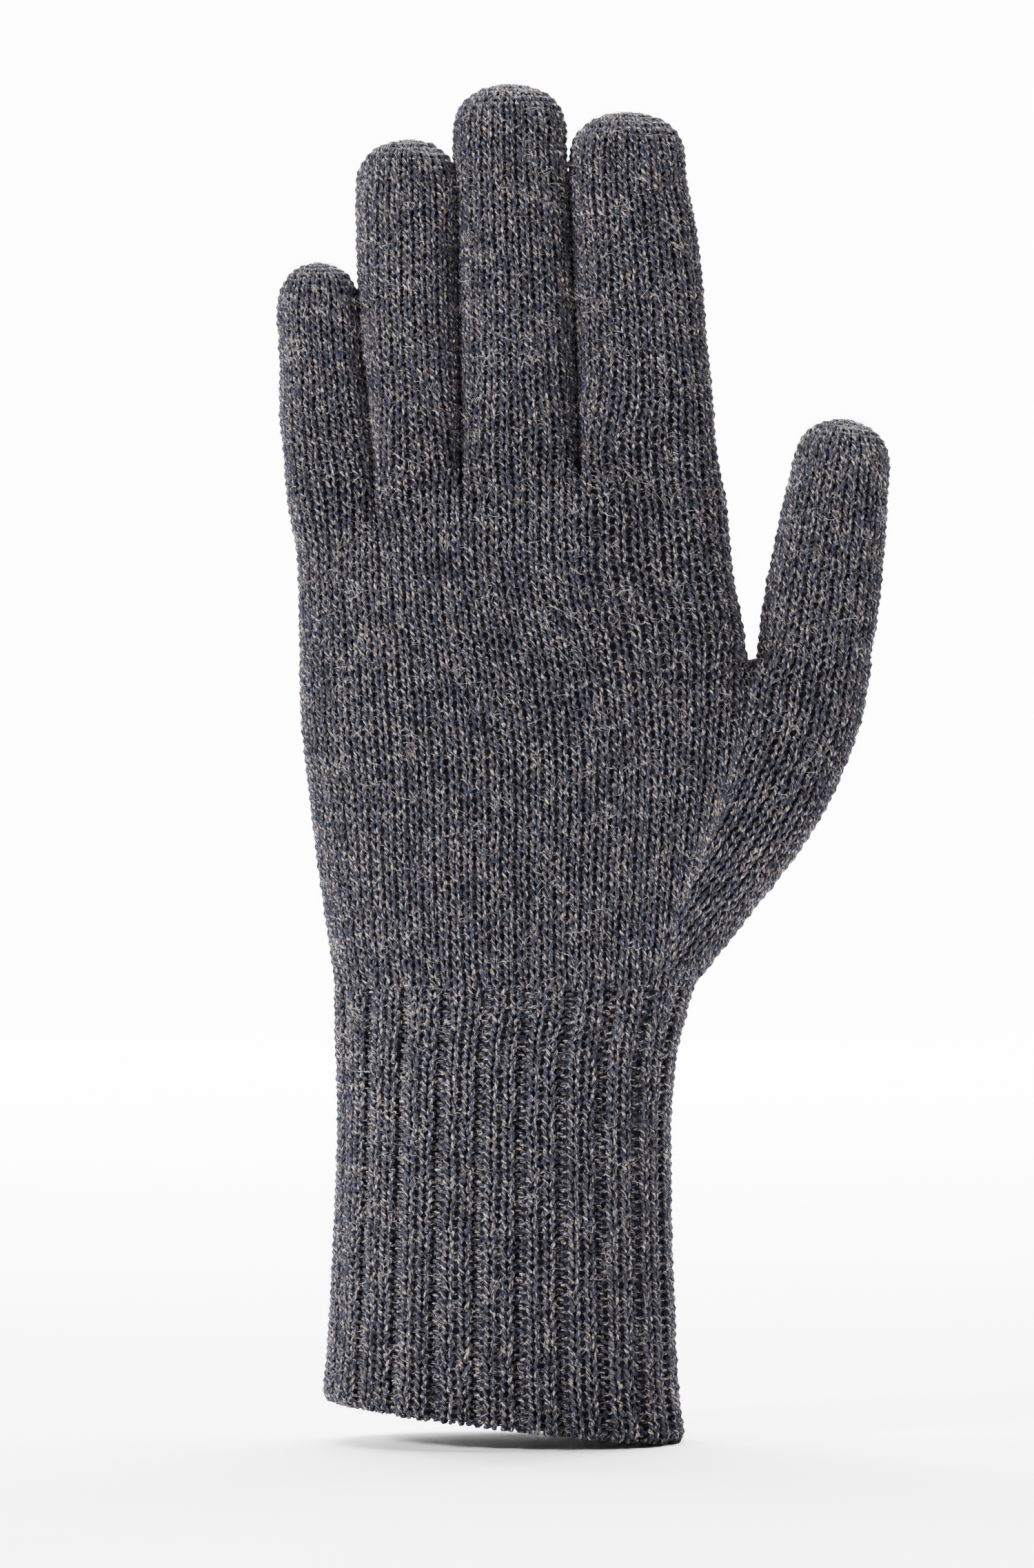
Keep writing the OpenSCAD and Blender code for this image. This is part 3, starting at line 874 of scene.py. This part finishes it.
def math_node(nodes, links, kind, a, b=None, c=None):
    node = nodes.new("ShaderNodeMath")
    node.operation = kind
    for socket, value in zip(node.inputs, (a, b, c)):
        if value is None:
            continue
        if isinstance(value, (int, float)):
            socket.default_value = value
        else:
            links.new(value, socket)
    return node.outputs[0]


INK = (0.005, 0.005, 0.008)
CHARCOAL = (0.026, 0.026, 0.029)
SLATE = (0.046, 0.066, 0.140)
BROWN = (0.150, 0.106, 0.078)
# the palest marl fibres, made bright enough to paint the glints on the yarn as well
STONE = (0.340, 0.305, 0.270)
PALE_FIBRE_AND_GLINT = (0.820, 0.800, 0.770)
TWIST = 3.4  # mm of yarn for one turn of its plies


def make_yarn_material(name, brightness):
    """Marl yarn: streaks of charcoal, slate, brown and pale fibres along its twist; the palest streaks are
    also painted glints.
    """
    m, nodes, links, shader = material(name)
    uv = nodes.new("ShaderNodeUVMap")
    uv.uv_map = "yarn"
    split = nodes.new("ShaderNodeSeparateXYZ")
    links.new(uv.outputs[0], split.inputs[0])
    along, round_yarn = split.outputs[0], split.outputs[1]
    helix = math_node(nodes, links, "ADD", round_yarn, math_node(nodes, links, "DIVIDE", along, TWIST))
    fibre = nodes.new("ShaderNodeCombineXYZ")
    links.new(math_node(nodes, links, "MULTIPLY", along, 0.5), fibre.inputs[0])
    links.new(math_node(nodes, links, "MULTIPLY", helix, 3.4), fibre.inputs[1])

    def noise(scale, detail, vector):
        node = nodes.new("ShaderNodeTexNoise")
        node.inputs["Scale"].default_value = scale
        node.inputs["Detail"].default_value = detail
        node.inputs["Roughness"].default_value = 0.6
        links.new(vector, node.inputs["Vector"])
        return node.outputs["Fac"]

    flecks_and_glints = noise(1.6, 2.0, fibre.outputs[0])
    colour = ramp(nodes, [(0.34, INK), (0.42, CHARCOAL), (0.48, SLATE), (0.515, CHARCOAL), (0.56, BROWN),
                          (0.62, STONE), (0.70, PALE_FIBRE_AND_GLINT)])
    links.new(flecks_and_glints, colour.inputs[0])
    place = nodes.new("ShaderNodeTexCoord")
    tone = noise(190, 3.0, place.outputs["Object"])
    tone_ramp = ramp(nodes, [(0.32, (0.60, 0.58, 0.60)), (0.5, (0.92, 0.93, 1.0)),
                             (0.68, (1.42, 1.30, 1.18))])
    links.new(tone, tone_ramp.inputs[0])
    mix = nodes.new("ShaderNodeMix")
    mix.data_type = "RGBA"
    mix.blend_type = "MULTIPLY"
    mix.inputs["Factor"].default_value = 1.0
    links.new(colour.outputs[0], mix.inputs[6])
    links.new(tone_ramp.outputs[0], mix.inputs[7])
    gain = nodes.new("ShaderNodeMix")
    gain.data_type = "RGBA"
    gain.blend_type = "MULTIPLY"
    gain.inputs["Factor"].default_value = 1.0
    gain.inputs[7].default_value = (brightness, brightness, brightness, 1)
    links.new(mix.outputs[2], gain.inputs[6])
    links.new(gain.outputs[2], shader.inputs["Base Color"])
    # relief: two plies wound round each other, and the fibres in them
    ply = math_node(nodes, links, "SINE", math_node(nodes, links, "MULTIPLY", helix, 2 * TURN))
    fine = noise(6.0, 3.0, fibre.outputs[0])
    ply_height = math_node(nodes, links, "MULTIPLY", ply, 0.12)
    height = math_node(nodes, links, "MULTIPLY_ADD", fine, 1.6, ply_height)
    bump = nodes.new("ShaderNodeBump")
    bump.inputs["Strength"].default_value = 0.9
    bump.inputs["Distance"].default_value = 0.0003
    links.new(height, bump.inputs["Height"])
    links.new(bump.outputs[0], shader.inputs["Normal"])
    rough = ramp(nodes, [(0.4, (0.9,) * 3), (0.7, (0.5,) * 3)])
    links.new(flecks_and_glints, rough.inputs[0])
    links.new(rough.outputs[0], shader.inputs["Roughness"])
    shader.inputs["Specular IOR Level"].default_value = 0.1
    return m


def make_shade_sheet_material():
    """Painted shade for the gaps between stitches: a near-black colour with a fine grain."""
    m, nodes, links, shader = material("painted_shade_sheet")
    place = nodes.new("ShaderNodeTexCoord")
    grain = nodes.new("ShaderNodeTexNoise")
    grain.inputs["Scale"].default_value = 900
    grain.inputs["Detail"].default_value = 3
    links.new(place.outputs["Object"], grain.inputs["Vector"])
    # near-black colours: the painted shade seen through the gaps between stitches
    colour = ramp(nodes, [(0.35, (0.003, 0.003, 0.004)), (0.6, (0.009, 0.009, 0.011)),
                          (0.75, (0.03, 0.027, 0.025))])
    links.new(grain.outputs["Fac"], colour.inputs[0])
    links.new(colour.outputs[0], shader.inputs["Base Color"])
    bump = nodes.new("ShaderNodeBump")
    bump.inputs["Distance"].default_value = 0.0002
    bump.inputs["Strength"].default_value = 0.5
    links.new(grain.outputs["Fac"], bump.inputs["Height"])
    links.new(bump.outputs[0], shader.inputs["Normal"])
    shader.inputs["Roughness"].default_value = 0.95
    shader.inputs["Specular IOR Level"].default_value = 0.05
    return m


def make_fibre_material():
    """Stray fibres, from dark to pale."""
    m, nodes, links, shader = material("wool_fibre")
    place = nodes.new("ShaderNodeTexCoord")
    kind = nodes.new("ShaderNodeTexNoise")
    kind.inputs["Scale"].default_value = 260
    kind.inputs["Detail"].default_value = 1
    links.new(place.outputs["Object"], kind.inputs["Vector"])
    colour = ramp(nodes, [(0.36, (0.03, 0.03, 0.04)), (0.5, (0.12, 0.105, 0.10)),
                          (0.64, (0.50, 0.46, 0.44))])
    links.new(kind.outputs["Fac"], colour.inputs[0])
    links.new(colour.outputs[0], shader.inputs["Base Color"])
    shader.inputs["Roughness"].default_value = 0.6
    shader.inputs["Specular IOR Level"].default_value = 0.1
    return m


yarn_material = make_yarn_material("wool_yarn", 0.66)
# a lighter copy of the same yarn for the cuff's rib: painted light
lit_rib_yarn_material = make_yarn_material("wool_yarn_rib_lit", 0.80)
shade_sheet_material = make_shade_sheet_material()
fibre_material = make_fibre_material()


# ---- pieces ----
def attach(obj, body, bend=None):
    """Lets a piece ride on one body; when a bend is given, it only bakes the piece's transform."""
    if bend is None:
        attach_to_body(obj, body)
        return
    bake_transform(obj)


def cover(name, sheet, first, last, keep, slot, body, bend, nodes, face_of=plain):
    """Yarn, the painted-shade sheet behind it and stray fibres for one stretch of a sheet."""
    yarn = lit_rib_yarn_material if slot == "rib_knit" else yarn_material
    pieces = [knit(f"{name}_knit", sheet, first, last, keep, yarn, face_of),
              shade_sheet(f"{name}_felt", sheet, first - 0.5, last + 0.5, keep, shade_sheet_material),
              stray_fibres(f"{name}_fibres", sheet, first, last, keep, fibre_material)]
    for piece in pieces:
        if piece is not None:
            attach(piece, body, bend)
    if nodes:
        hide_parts(*nodes)


WRIST_ZONE = 13.0  # half the height over which the wrist bends
wrist = hinge("wrist")
wrist_bend = ("hand", wrist - (0, 0, WRIST_ZONE), wrist + (0, 0, WRIST_ZONE))
hem_top = -CUFF_COURSES + 4
low_cuff, middle_cuff = -31, -15  # last courses of the lower and middle cuff

cover("cuff_hem", hand_sheet, CUFF_FIRST + 1, hem_top, everywhere, "rib_knit", "cuff", None,
      ["cuff_hem"], ribbed)
cover("cuff_low", hand_sheet, hem_top + 1, low_cuff, everywhere, "rib_knit", "cuff", None,
      ["cuff_rib"], ribbed)
cover("cuff_middle", hand_sheet, low_cuff + 1, middle_cuff, everywhere, "rib_knit", "cuff", None, [], ribbed)
cover("cuff_wrist", hand_sheet, middle_cuff + 1, -1, everywhere, "rib_knit", "cuff", wrist_bend,
      ["wrist_bend"], ribbed)
hand_top = math.ceil(course_at(max(CROTCH_Z)))
heel_top, palm_top = 17, 35  # last courses of the heel and the palm
cover("hand_heel", hand_sheet, 0, heel_top, hand_keeps, "plain_knit", "cuff", wrist_bend,
      ["hand_lower"], ribbed)
cover("hand_palm", hand_sheet, heel_top + 1, palm_top, hand_keeps, "plain_knit", "hand", None, [])
cover("hand_knuckles", hand_sheet, palm_top + 1, hand_top, hand_keeps, "plain_knit", "hand", None,
      ["hand_upper", "crotch_little_ring", "crotch_ring_middle", "crotch_middle_index"])


def bend_zone(joint, direction, half):
    """Where a bend starts and ends, this far on each side of its hinge."""
    h = hinge(joint)
    return h - direction * half, h + direction * half


UP = np.array([0, 0, 1.0])
for f in FINGERS:
    sheet = finger_sheets[f]
    last = int(sheet.first + (len(sheet.points) - 1) / 2)
    h = [hinge(f"{f}_{part}_joint") for part in ("root", "middle", "tip")]
    first = math.floor(course_at(min(LEFT_CROTCH[f], RIGHT_CROTCH[f])))
    half = h[0][2] - fingers[f].crotch  # half the height over which the root bends
    middle_half = min(11, h[1][2] - h[0][2] - half - 0.5)
    tip_half = min(7, h[2][2] - h[1][2] - middle_half - 0.5)
    split_1 = round(course_at((h[0][2] + half + h[1][2] - middle_half) / 2))
    split_2 = round(course_at((h[1][2] + middle_half + h[2][2] - tip_half) / 2))
    keep = finger_keeps(f)
    zones = [bend_zone(f"{f}_root_joint", UP, half),
             bend_zone(f"{f}_middle_joint", UP, middle_half),
             bend_zone(f"{f}_tip_joint", UP, tip_half)]
    cover(f"{f}_base", sheet, first, split_1, keep, "plain_knit", "hand", (f"{f}_base", *zones[0]),
          [f"{f}_root", f"{f}_root_bend", f"{f}_base"])
    cover(f"{f}_middle", sheet, split_1 + 1, split_2, keep, "plain_knit", f"{f}_base",
          (f"{f}_middle", *zones[1]), [f"{f}_middle_bend", f"{f}_middle"])
    cover(f"{f}_tip", sheet, split_2 + 1, last, keep, "plain_knit", f"{f}_middle",
          (f"{f}_tip", *zones[2]), [f"{f}_tip_bend", f"{f}_tip"])

thumb_last = int(thumb_sheet.first + (len(thumb_sheet.points) - 1) / 2)


def thumb_course(s):
    """The course at distance s along the thumb from its root joint."""
    start = (course_z(GUSSET_TOP) - THUMB_FOOT[2]) / THUMB_AXIS[2] + THUMB_START
    return GUSSET_TOP + (s - start) / THUMB_COURSE


knuckle = float(np.linalg.norm(thumb_knuckle - thumb_hinge))
thumb_half, thumb_tip_half = 7.0, 9.0
thumb_split = round(thumb_course((thumb_half + knuckle - thumb_tip_half) / 2))
cover("thumb_gusset", thumb_sheet, 2, GUSSET_TOP, thumb_keeps, "plain_knit", "cuff", wrist_bend,
      ["thumb_gusset", "crotch_thumb"])
cover("thumb_base", thumb_sheet, GUSSET_TOP + 1, thumb_split, thumb_keeps, "plain_knit", "hand",
      ("thumb_base", *bend_zone("thumb_root_joint", THUMB_AXIS, thumb_half)),
      ["thumb_root", "thumb_root_bend", "thumb_base"])
cover("thumb_tip", thumb_sheet, thumb_split + 1, thumb_last, thumb_keeps, "plain_knit", "thumb_base",
      ("thumb_tip", *bend_zone("thumb_tip_joint", THUMB_AXIS, thumb_tip_half)),
      ["thumb_tip_bend", "thumb_tip"])


# ---- studio ----
def make_stage():
    """A pale floor that curves up into a backdrop."""
    m, nodes, links, shader = material("studio_paper")
    grain = nodes.new("ShaderNodeTexNoise")
    grain.inputs["Scale"].default_value = 60
    colour = ramp(nodes, [(0.3, (0.90, 0.90, 0.90)), (0.7, (0.93, 0.93, 0.93))])
    links.new(grain.outputs["Fac"], colour.inputs[0])
    links.new(colour.outputs[0], shader.inputs["Base Color"])
    shader.inputs["Roughness"].default_value = 0.9
    floor_z = (HEM_Z - 0.2) * MM
    reach, top = 6.0, 5.0  # metres to the floor's near and side edges, and to the backdrop's top
    bend, far = 0.8, 2.8  # radius and start of the curve
    turn = np.linspace(0, math.pi / 2, 16)
    profile = [(-reach, 0.0), (far, 0.0)]
    profile += [(far + bend * math.sin(a), bend * (1 - math.cos(a))) for a in turn[1:]]
    profile += [(far + bend, top)]
    points, faces = [], []
    for y, z in profile:
        points += [(-reach, y, z + floor_z), (reach, y, z + floor_z)]
    for k in range(len(profile) - 1):
        faces.append([2 * k, 2 * k + 1, 2 * k + 3, 2 * k + 2])
    stage = new_object("studio_sweep", np.array(points) / MM, faces, m)


def add_light(name, place, target, size, power):
    light = bpy.data.lights.new(name, "AREA")
    light.shape = "RECTANGLE"
    light.size, light.size_y = size
    light.energy = power
    obj = bpy.data.objects.new(name, light)
    bpy.context.collection.objects.link(obj)
    obj.location = place
    direction = np.array(target) - np.array(place)
    obj.rotation_euler = Vector(direction).to_track_quat("-Z", "Y").to_euler()


make_stage()
centre = np.array([2.4, 0, 136.3]) * MM  # middle of the picture
add_light("key", (-1.25, -1.05, 0.85), centre, (0.3, 0.3), 72)
add_light("backdrop_left", (-1.6, 2.1, 1.6), (-0.2, 3.4, 0.2), (1.0, 1.0), 380)
add_light("backdrop_right", (1.6, 2.1, 1.6), (0.2, 3.4, 0.2), (1.0, 1.0), 380)
add_light("floor", (0.0, 1.0, 2.0), (0, 1.0, 0), (2.0, 2.0), 420)
world = bpy.data.worlds.new("studio")
world.use_nodes = True
world.node_tree.nodes["Background"].inputs[0].default_value = (1, 1, 1, 1)
world.node_tree.nodes["Background"].inputs[1].default_value = 0.06
bpy.context.scene.world = world

camera_data = bpy.data.cameras.new("camera")
camera = bpy.data.objects.new("camera", camera_data)
bpy.context.collection.objects.link(camera)
CAMERA_DISTANCE = 1.6
GLOVE_FRONT = 0.012  # how far the glove's visible face stands in front of its middle
FRAME_HEIGHT = 0.3345  # of the picture, at the glove's visible face
SENSOR = 36
camera.location = (centre[0], -CAMERA_DISTANCE, centre[2])
camera.rotation_euler = (math.pi / 2, 0, 0)
camera_data.sensor_fit = "VERTICAL"
camera_data.sensor_height = SENSOR
camera_data.lens = SENSOR * (CAMERA_DISTANCE - GLOVE_FRONT) / FRAME_HEIGHT
camera_data.clip_start = 0.05
bpy.context.scene.camera = camera
